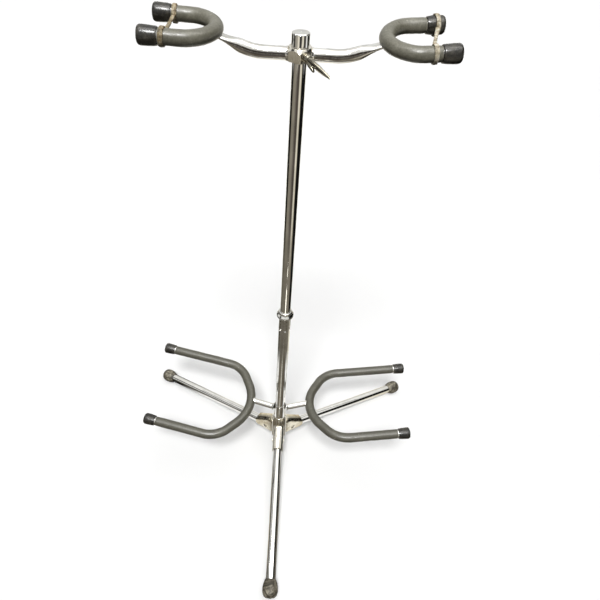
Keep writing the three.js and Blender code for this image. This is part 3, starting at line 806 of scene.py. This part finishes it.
def sleeve_shape(yoke, side, seed):
    """Soft tubing: a little lumpy, a little flattened in its bend, with uneven cut ends."""
    radius, wall = SLEEVE_RADIUS, SLEEVE_RADIUS - YOKE_TUBE / 2 - 0.2
    stations = yoke_stations(yoke, side, CAP["length"] + yoke["bare"], 2.6)
    last = len(stations) - 1
    outer, inner = [], []
    for i, (point, tangent) in enumerate(stations):
        across = Vector((0, 0, 1)).cross(tangent)
        ends = min(i, last - i)
        lip = {0: 0.35, 1: 0.06}.get(ends, 0.0)
        bend = 1 - abs(2 * i / last - 1)
        out_row, in_row = [], []
        for angle in around(44):
            way = across * math.cos(angle) + Vector((0, 0, math.sin(angle)))
            key = point * 0.045 + way * 0.55 + Vector((seed, seed * 2, 0))
            lump = 0.22 * noise.noise(key) + 0.09 * noise.noise(key * 3.1)
            flat = 0.16 * bend * math.cos(2 * angle)
            ragged = tangent * 0.7 * noise.noise(way * 1.6 + Vector((seed, 0, i)))
            shift = ragged if ends == 0 else Vector((0, 0, 0))
            out_row.append(point + way * (radius - 0.12 + lump + flat - lip) + shift)
            in_row.append(point + way * (radius - wall) + shift)
        outer.append(out_row)
        inner.append(in_row)
    return Shape().skin(outer + inner[::-1], closed=True)


def cap_shape(seed):
    """A moulded cap about X: a rolled mouth, pulled-in flanks and a domed end."""
    length, tip, mouth = CAP["length"], CAP["tip"], CAP["mouth"]
    bore = YOKE_TUBE / 2 + GAP
    profile = [(bore, 20), (bore, 0.7), (bore + 0.4, 0), (mouth - 0.5, 0), (mouth - 0.1, 0.35)]
    flank = [(mouth, 0.9), (mouth + 0.2, 2.2), (tip - 0.5, 5.5), (tip - 0.2, 10), (tip, 15),
             (tip, length - 5), (tip - 0.25, length - 3.2), (tip - 1.1, length - 1.5),
             (tip - 2.6, length - 0.6), (5.5, length - 0.2), (0, length)]
    profile += curved(flank)
    shape = along_x(lathed(profile, 56))
    for point in shape.points:
        radial = Vector((0, point.y, point.z))
        if radial.length > bore + 1:
            lump = noise.noise(point * 0.09 + Vector((seed, 0, 0)))
            point += radial.normalized() * 0.18 * lump
    return shape


def padded_yoke(name, yoke, side, body, seed):
    matrix = yoke_matrix(yoke[side], side)
    stops = [(*station, YOKE_TUBE / 2) for station in yoke_stations(yoke, side, 3.3, 4)]
    bar = made(f"{name}_bar_{side}", swept(stops, 40), matrix)
    fitted(bar, CHROME, body, f"{name}_tube_{side}")
    sleeve = made(f"{name}_padding_{side}", sleeve_shape(yoke, side, seed), matrix, sharp=50)
    # The cradle sleeves take the darker copy of the vinyl, which is painted shade.
    finish = VINYL if name == "neck" else SHADED_VINYL
    fitted(sleeve, finish, body, f"{name}_sleeve_{side}")
    for place, sign in (("front", -1), ("rear", 1)):
        sense = sign if side == "right" else -sign
        reach = yoke[side]["length"][place] - CAP["length"]
        spot = Matrix.Translation((reach, sense * half_width(yoke), 0))
        cap = made(f"{name}_end_{side}_{place}", cap_shape(seed + sense), matrix @ spot)
        fitted(cap, CAP_RUBBER, body, f"{name}_cap_{side}_{place}")


# ---- the arms


def cradle_level():
    low, high = heights("cradle_block")
    bore = LOWER_TUBE / 2 + GAP
    outline = [(bore, low), (12.3, low), (12.9, low + 1), (12.9, high - 7), (bore + 0.6, high),
               (bore, high)]
    block = ring_of(outline, 0.8, sides=72)
    fitted(made("cradle_sleeve_block", block), WORN, "base", "cradle_block")
    for side, across in (("left", -1), ("right", 1)):
        fitted(cradle_arm(side, across), CHROME, "base", f"cradle_arm_{side}")
        padded_yoke("cradle", CRADLE, side, "base", 3 if side == "left" else 8)


def cradle_arm(side, across):
    """A straight bar, its root cut to the round of the block and flared by the weld."""
    x, y, z = CRADLE_ARM["root"]
    root = Vector((across * x, y, z))
    x, y, z = CRADLE[side]["weld"]
    tip = Vector((across * x, y, z))
    way = (tip - root).normalized()
    reach = (tip - root).length - YOKE_TUBE / 2 + 1.5
    radius, start, sides = CRADLE_ARM["radius"], 9, 40
    flare = ((0, 1.7), (1.6, 1.5), (2.8, 0.7), (4.4, 0.15), (6.5, 0))
    weld = ((25, 0), (6, 0), (3.4, 0.3), (1.5, 0.9), (0, 1.2))
    stops = [(root + way * (start + along), way, radius + extra) for along, extra in flare]
    stops += [(root + way * (reach - back), way, radius + extra) for back, extra in weld]
    bar = swept(stops, sides)
    flat = Vector((way.x, way.y))
    # The end face shares the first row's points, so it moves with them.
    for point in bar.points[: len(flare) * sides]:
        here = Vector((point.x, point.y))
        short = CRADLE_ARM["block"] ** 2 - here.length_squared
        if short > 0:
            along = here.dot(flat)
            push = math.sqrt(along ** 2 + short * flat.length_squared) - along
            point += way * (push / flat.length_squared)
    return made(f"cradle_bar_arm_{side}", bar, sharp=45)


def upper_arm(side):
    """A bent tube, its outer end pinched flat where it is welded to the yoke."""
    rise = RAD(ARM["rise"])
    bend = Vector((ARM["bend"], 0, ARM["z"]))
    outward = Vector((math.cos(rise), 0, math.sin(rise)))
    up = Vector((-outward.z, 0, outward.x))
    reach = (NECK[side]["apex"][0] - ARM["bend"]) / math.cos(rise) - 2
    easing = 16
    root = Vector((HEX / 2 - 0.2, 0, ARM["z"]))
    radius = YOKE_TUBE / 2
    straight = bend.x - easing - root.x
    flare = ((0, 1.1), (0.8, 0.8), (1.8, 0.3), (3, 0), (straight / 2, 0))
    along_x_axis = Vector((1, 0, 0))
    stops = [(root + along_x_axis * run, along_x_axis, radius + extra) for run, extra in flare]
    steps = 14
    for k in range(steps + 1):
        t = k / steps
        a, b = bend - Vector((easing, 0, 0)), bend + outward * easing
        point = a * (1 - t) ** 2 + bend * 2 * t * (1 - t) + b * t * t
        tangent = ((bend - a) * (1 - t) + (b - bend) * t).normalized()
        stops.append((point, tangent, radius))
    for k in range(1, 15):
        stops.append((bend + outward * (easing + (reach - easing) * k / 14), outward, radius))
    arm = swept(stops, 56)
    for point in arm.points:
        local = point - bend
        along, height = local.dot(outward), local.dot(up)
        t = max(0, min(1, (along - ARM["pinch_start"]) / (reach - 6 - ARM["pinch_start"])))
        amount = t * t * (3 - 2 * t)
        local += up * height * amount * (ARM["pinch"] - 1)
        local.y *= 1 + amount * (ARM["spread"] - 1)
        crease = amount * 1.2 * math.exp(-(local.y / 4) ** 2) * (1 if height > 0 else -1)
        local -= up * crease
        point.xyz = local + bend
    turn = spin(180 if side == "left" else 0, "Z")
    return made(f"cross_arm_{side}", arm, turn, sharp=45)


def wing_blade(face, length, lean, width, turn):
    """A tapering blade that leans away from the screw's axis."""
    start = face + 2
    rows = []
    steps = 26
    for k in range(steps + 1):
        t = k / steps
        spread = math.sin(math.pi * min(t / 0.9, 1) ** 0.8) ** 0.8
        middle = 0.6 + (lean - 0.6) * t
        reach = 3.6 * (1 - t) + 1.7 * t + (width / 2 - 2.9) * spread
        end = math.sqrt(max(0, 1 - (max(0, t - 0.9) / 0.1) ** 2))
        half = max(reach * end, 0.01)
        thick = (2.3 + 1.0 * spread - 0.7 * t) * (0.25 + 0.75 * end)
        row = []
        for angle in around(24):
            y, z = blunt(angle, 0.75)
            row.append(Vector((start + length * t, y * thick, middle + z * half)))
        rows.append(row)
    blade = Shape().skin(rows).lid(rows[0]).lid(rows[-1])
    return turned_copy(blade, spin(turn, "X"))


def thumb_screw():
    face = HEX / 2 + GAP
    tip = UPPER_TUBE / 2 + GAP
    profile = [(0, tip), (2.3, tip), (2.9, tip + 0.6), (2.9, face), (4.9, face), (5.4, face + 0.6),
               (5.4, face + 6), (4.9, face + 7.8), (3.6, face + 8.8), (0, face + 9)]
    boss = along_x(lathed(softened(profile, 0.5), 48))
    blades = [wing_blade(face, **WING[blade]) for blade in ("long", "short")]
    matrix = (
        Matrix.Translation((0, 0, WING["z"]))
        @ spin(WING["azimuth"], "Z")
        @ spin(WING["turn"], "X")
    )
    screw = made("thumb_screw", merged(boss, *blades), matrix, sharp=40)
    fitted(screw, SATIN, "wing_screw", "wing_screw")


def band_loop(radius, seed):
    """A perished rubber ring about X, uneven in width and thickness."""
    rows = []
    for angle in around(72):
        way = Vector((0, math.cos(angle), math.sin(angle)))
        wobble = noise.noise(way * 1.7 + Vector((seed, 0, 0)))
        half = BAND["width"] / 2 * (1 + 0.16 * wobble)
        thick = BAND["thickness"] * (0.9 + 0.16 * noise.noise(way * 2.3 + Vector((0, seed, 0))))
        lean = 0.5 * math.sin(angle + seed)
        row = []
        for turn in around(16):
            x, depth = blunt(turn, 0.6)
            out = radius + thick / 2 + depth * thick / 2
            row.append(way * out + Vector((x * half + lean, 0, 0)))
        rows.append(row)
    return Shape().skin(rows, closed=True)


def strap(start, end, sag, twist, width, thickness, seed):
    """A ribbon of the same rubber pulled between two loops, twisting as it goes."""
    rows = []
    steps = 40
    for k in range(steps + 1):
        t = k / steps
        point = start.lerp(end, t) + Vector((0, 0, sag * math.sin(math.pi * t)))
        tangent = (end - start).normalized()
        angle = RAD(twist) * (t - 0.5)
        across = tangent.cross(Vector((0, 0, 1))).normalized()
        lift = across.cross(tangent)
        flat = across * math.cos(angle) + lift * math.sin(angle)
        thin = lift * math.cos(angle) - across * math.sin(angle)
        necking = 1 - 0.22 * math.sin(math.pi * t)
        bumps = 1 + 0.14 * noise.noise(Vector((t * 7, seed, 0)))
        row = []
        for turn in around(16):
            a, b = blunt(turn, 0.6)
            wide, deep = a * width / 2 * necking * bumps, b * thickness / 2 * bumps
            row.append(point + flat * wide + thin * deep)
        rows.append(row)
    return Shape().skin(rows).lid(rows[0]).lid(rows[-1])


def retaining_band(side):
    near, far = BAND[side]["near"], BAND[side]["far"]
    half = half_width(NECK)
    near_radius = SLEEVE_RADIUS + 0.2
    far_radius = CAP["tip"] + 0.2 if side == "right" else near_radius
    front, rear = (-half, half) if side == "right" else (half, -half)
    loops = [
        turned_copy(band_loop(near_radius, 2), Matrix.Translation((near, front, 0))),
        turned_copy(band_loop(far_radius, 5), Matrix.Translation((far, rear, 0))),
    ]
    inward = 1 if front < 0 else -1
    start = Vector((near, front + inward * (near_radius - 0.5), 1.5))
    end = Vector((far, rear - inward * (far_radius - 0.5), 1.5))
    ribbon = strap(start, end, -1.2, 40 if side == "left" else 20, BAND["width"], 3.0, 4)
    matrix = yoke_matrix(NECK[side], side)
    band = made(f"rubber_band_{side}", merged(*loops, ribbon), matrix, sharp=50)
    finish = OLD_LATEX if side == "left" else PALE_LATEX
    fitted(band, finish, "head", f"retaining_band_{side}")


def neck_level():
    head_block()
    thumb_screw()
    for side in ("left", "right"):
        fitted(upper_arm(side), WORN, "head", f"upper_arm_{side}")
        padded_yoke("neck", NECK, side, "head", 12 if side == "left" else 17)
        retaining_band(side)


# ---- camera and lighting


def camera():
    """The photographer's place: standing, a pace in front, looking down at the stand."""
    data = bpy.data.cameras.new("camera")
    obj = placed("camera", data)
    yaw, down, tilt = RAD(CAMERA["yaw"]), RAD(CAMERA["down"]), RAD(CAMERA["tilt"])
    ahead = Vector((math.sin(yaw) * math.cos(down), math.cos(yaw) * math.cos(down), -math.sin(down)))
    level = Vector((math.cos(yaw), -math.sin(yaw), 0))
    below = ahead.cross(level)
    right = level * math.cos(tilt) + below * math.sin(tilt)
    under = below * math.cos(tilt) - level * math.sin(tilt)
    turn = Matrix((right, -under, -ahead)).transposed().to_4x4()
    obj.matrix_world = Matrix.Translation(AXIS + Vector(CAMERA["place"]) * MM) @ turn
    data.sensor_width = 36
    data.lens = CAMERA["lens"]
    data.shift_x, data.shift_y = CAMERA["shift"]
    bpy.context.scene.camera = obj


class Glow(Material):
    """A material that only gives out light."""

    def __init__(self, name, strength=1.0, colour=None):
        super().__init__(name, "Emission", "Emission")
        self.shader.inputs["Strength"].default_value = strength
        if colour:
            self.feed(colour, self.shader.inputs["Color"])


def staged(name, mesh, material, camera_sees, mirrors):
    """Staging that only some rays can see."""
    mesh.materials.append(material)
    obj = placed(name, mesh)
    obj.visible_camera = camera_sees
    obj.visible_glossy = mirrors
    obj.visible_diffuse = obj.visible_shadow = obj.visible_transmission = False


def card(name, corners, material, camera_sees=False, mirrors=True):
    mesh = bpy.data.meshes.new(name)
    mesh.from_pydata([Vector(c) for c in corners], [], [tuple(range(len(corners)))])
    staged(name, mesh, material, camera_sees, mirrors)


def level_corners(xs, ys, z):
    return [(xs[0], ys[0], z), (xs[1], ys[0], z), (xs[1], ys[1], z), (xs[0], ys[1], z)]


FLOOR = (-30, 30)


def pale_floor():
    """The floor that the camera sees and the stand's shadows fall on."""
    f = Finish("pale_floor", Specular_IOR_Level=0.0, Roughness=0.9)
    tone = f.ramp(f.noise(1.5, 2, 0.5), (0.3, 0.815), (0.7, 0.835))
    f.wire(Base_Color=tone)
    card("floor", level_corners(FLOOR, FLOOR, 0), f.material, camera_sees=True, mirrors=False)


BLACK = (0.006, 0.006, 0.006)
CREAM = (0.86, 0.81, 0.68)
WHITE = (1.0, 1.0, 0.98)

# The floor that the chrome sees, as rings about the post's foot. Each ring's colours are
# set against the bearing from the post in degrees: 0 is in front and 90 is to the right.
RINGS = (  # where each ring starts and finishes fading into the next, and its stops
    (0.24, 0.30, (
        (-180, WHITE), (-74, WHITE), (-66, (0.16, 0.14, 0.11)), (-14, (0.20, 0.18, 0.14)),
        (-8, CREAM), (0, CREAM), (6, (0.15, 0.13, 0.10)), (62, (0.10, 0.09, 0.07)),
        (70, WHITE), (180, WHITE),
    )),
    (0.42, 0.46, (
        (-180, CREAM), (-152, CREAM), (-146, BLACK), (-104, BLACK), (-98, (0.16, 0.145, 0.115)),
        (-20, (0.14, 0.125, 0.10)), (40, (0.155, 0.14, 0.11)), (98, (0.20, 0.18, 0.14)),
        (106, CREAM), (180, CREAM),
    )),
    (0.62, 0.95, (
        (-180, CREAM), (-152, CREAM), (-146, (0.10, 0.09, 0.07)), (-70, (0.17, 0.155, 0.12)),
        (0, (0.19, 0.17, 0.135)), (40, (0.22, 0.20, 0.16)), (66, (0.18, 0.16, 0.125)),
        (74, BLACK), (146, BLACK), (152, CREAM), (180, CREAM),
    )),
    (2.3, 2.6, (
        (-180, CREAM), (-152, CREAM), (-146, BLACK), (-92, BLACK), (-84, (0.22, 0.20, 0.155)),
        (-48, (0.26, 0.235, 0.19)), (-16, (0.11, 0.095, 0.08)), (4, (0.05, 0.04, 0.035)),
        (18, (0.20, 0.18, 0.14)), (30, CREAM), (48, (0.60, 0.55, 0.43)), (58, BLACK),
        (146, BLACK), (152, CREAM), (180, CREAM),
    )),
    (3.8, 4.4, (
        (-180, CREAM), (-152, CREAM), (-146, BLACK), (-112, BLACK), (-106, WHITE), (-94, WHITE),
        (-88, BLACK), (-74, BLACK), (-66, (0.30, 0.28, 0.24)), (-36, (0.42, 0.39, 0.33)),
        (-28, CREAM), (-16, CREAM), (-8, (0.03, 0.03, 0.03)), (14, (0.06, 0.055, 0.05)),
        (22, CREAM), (38, CREAM), (46, BLACK), (70, (0.12, 0.11, 0.1)), (80, WHITE),
        (98, WHITE), (104, BLACK), (146, BLACK), (152, CREAM), (180, CREAM),
    )),
)
FAR_OFF = 6


def mirrored_floor():
    """What the chrome sees below it: pale under the stand, a warm grey floor in front with
    bright patches further out, black at the sides, cream behind, and pale far off."""
    f = Glow("mirrored_floor")
    away = f.node("VectorMath", operation="SUBTRACT")
    away.inputs[1].default_value = AXIS
    f.link(f.node("TexCoord").outputs["Object"], away.inputs[0])
    split = f.node("SeparateXYZ")
    f.link(away.outputs["Vector"], split.inputs["Vector"])
    ahead = f.maths("MULTIPLY", split.outputs["Y"], -1)
    bearing = f.maths("ARCTAN2", split.outputs["X"], ahead)
    span = f.node("VectorMath", operation="LENGTH")
    f.link(away.outputs["Vector"], span.inputs[0])
    distance = span.outputs["Value"]

    def ring(stops):
        radians = [(RAD(angle), colour) for angle, colour in stops]
        return f.ramp_between(-math.pi, math.pi, bearing, *radians)

    pale = f.ramp_between(0, FAR_OFF, distance, (0, CREAM), (FAR_OFF, (0.75, 0.73, 0.68)))
    rings = [ring(stops) for _, _, stops in RINGS] + [pale]
    colour = rings[0]
    for (start, finish, _), beyond in zip(RINGS, rings[1:]):
        fade = f.ramp_between(0, FAR_OFF, distance, (start, 0), (finish, 1))
        colour = f.mix(fade, colour, beyond)
    f.link(colour, f.shader.inputs["Color"])
    card("mirrored_floor", level_corners(FLOOR, FLOOR, -0.001), f.material)


def glints():
    """Two small bright panels on the floor in front, seen as sparks low on the post."""
    glow = Glow("glint", 2.2, (1.0, 0.97, 0.86))
    for near, far, half in ((0.44, 0.56, 0.055), (0.62, 0.66, 0.05)):
        xs, ys = (0.02 - half, 0.02 + half), (AXIS.y - near, AXIS.y - far)
        card("glint", level_corners(xs, ys, 0.001), glow.material)


def photographer_card():
    """The dark shape of someone standing behind the camera, seen only in the chrome."""
    glow = Glow("dark_card", 1.0, (0.05, 0.042, 0.035))
    y = AXIS.y - 1.13
    corners = [(-0.2, y, 0.7), (0.2, y, 0.7), (0.2, y, 1.42), (-0.2, y, 1.42)]
    card("dark_card", corners, glow.material)


def white_surround():
    """A plain pale sphere round everything, for the camera alone."""
    mesh = bpy.data.meshes.new("surround")
    body = bmesh.new()
    bmesh.ops.create_uvsphere(body, u_segments=64, v_segments=32, radius=28)
    body.to_mesh(mesh)
    body.free()
    staged("surround", mesh, Glow("surround").material, camera_sees=True, mirrors=False)


def room():
    """The room: a dim even light on the stand, and for the chrome alone a bright ceiling
    above dark side walls. The right wall is the taller, and the left has a second dark band."""
    world = bpy.data.worlds.new("room")
    bpy.context.scene.world = world
    world.use_nodes = True
    f = Nodes(world.node_tree)
    output = f.node("OutputWorld")
    background = f.node("Background")
    f.link(background.outputs["Background"], output.inputs["Surface"])
    split = f.node("SeparateXYZ")
    f.link(f.node("TexCoord").outputs["Generated"], split.inputs["Vector"])
    x, y, height = split.outputs["X"], split.outputs["Y"], split.outputs["Z"]

    def greys(*stops):
        return f.ramp_between(-1, 1, height, *[(z, (g, g, g * 0.97)) for z, g in stops])

    def step(socket, start, finish):
        return f.ramp_between(-1, 1, socket, (start, 0), (finish, 1))

    front = greys((-0.02, 0.03), (0.02, 0.30), (0.3, 0.62), (0.7, 0.85))
    back = greys((-0.02, 0.3), (0.0, 0.55), (0.2, 0.65), (0.6, 0.95))
    left = greys((-0.02, 0.01), (0.22, 0.012), (0.28, 0.75), (0.5, 0.8), (0.53, 0.02),
                 (0.67, 0.02), (0.71, 0.95))
    right = greys((-0.02, 0.01), (0.60, 0.012), (0.67, 0.8), (0.8, 0.95))
    ahead = f.mix(step(y, -0.1, 0.1), front, back)
    beside = f.mix(step(x, -0.05, 0.05), left, right)
    mirrored = f.mix(step(f.maths("ABSOLUTE", x), 0.62, 0.70), ahead, beside)
    dim = greys((-0.3, 0.03), (0.1, 0.13), (0.8, 0.24))
    glossy = f.node("LightPath").outputs["Is Glossy Ray"]
    f.link(f.mix(glossy, dim, mirrored), background.inputs["Color"])


def strip_light():
    """A long bright strip overhead, seen as a line of light along the rubber and the arms."""
    glow = Glow("strip_light", 11, (1.0, 0.98, 0.93))
    corners = level_corners((-1.3, 1.3), (AXIS.y - 0.1, AXIS.y), 2.2)
    card("strip_light", corners, glow.material)


def sun(name, direction, spread, strength):
    """A large soft lamp far off, shining along `direction`."""
    data = bpy.data.lights.new(name, "SUN")
    data.angle = RAD(spread)
    data.energy = strength
    obj = placed(name, data)
    obj.rotation_mode = "QUATERNION"
    obj.rotation_quaternion = Vector(direction).to_track_quat("-Z", "Y")


def lighting():
    sun("key", (0.06, 0.55, -1), 15, 2.65)
    sun("overhead", (-0.1, 0.05, -1), 55, 0.95)
    bpy.context.scene.view_settings.view_transform = "Standard"


# ---- the stand

camera()
hub_and_bolt()
post()
for name in LEGS:
    leg(name)
    bracket(name)
cradle_level()
neck_level()
pale_floor()
mirrored_floor()
glints()
photographer_card()
white_surround()
room()
strip_light()
lighting()
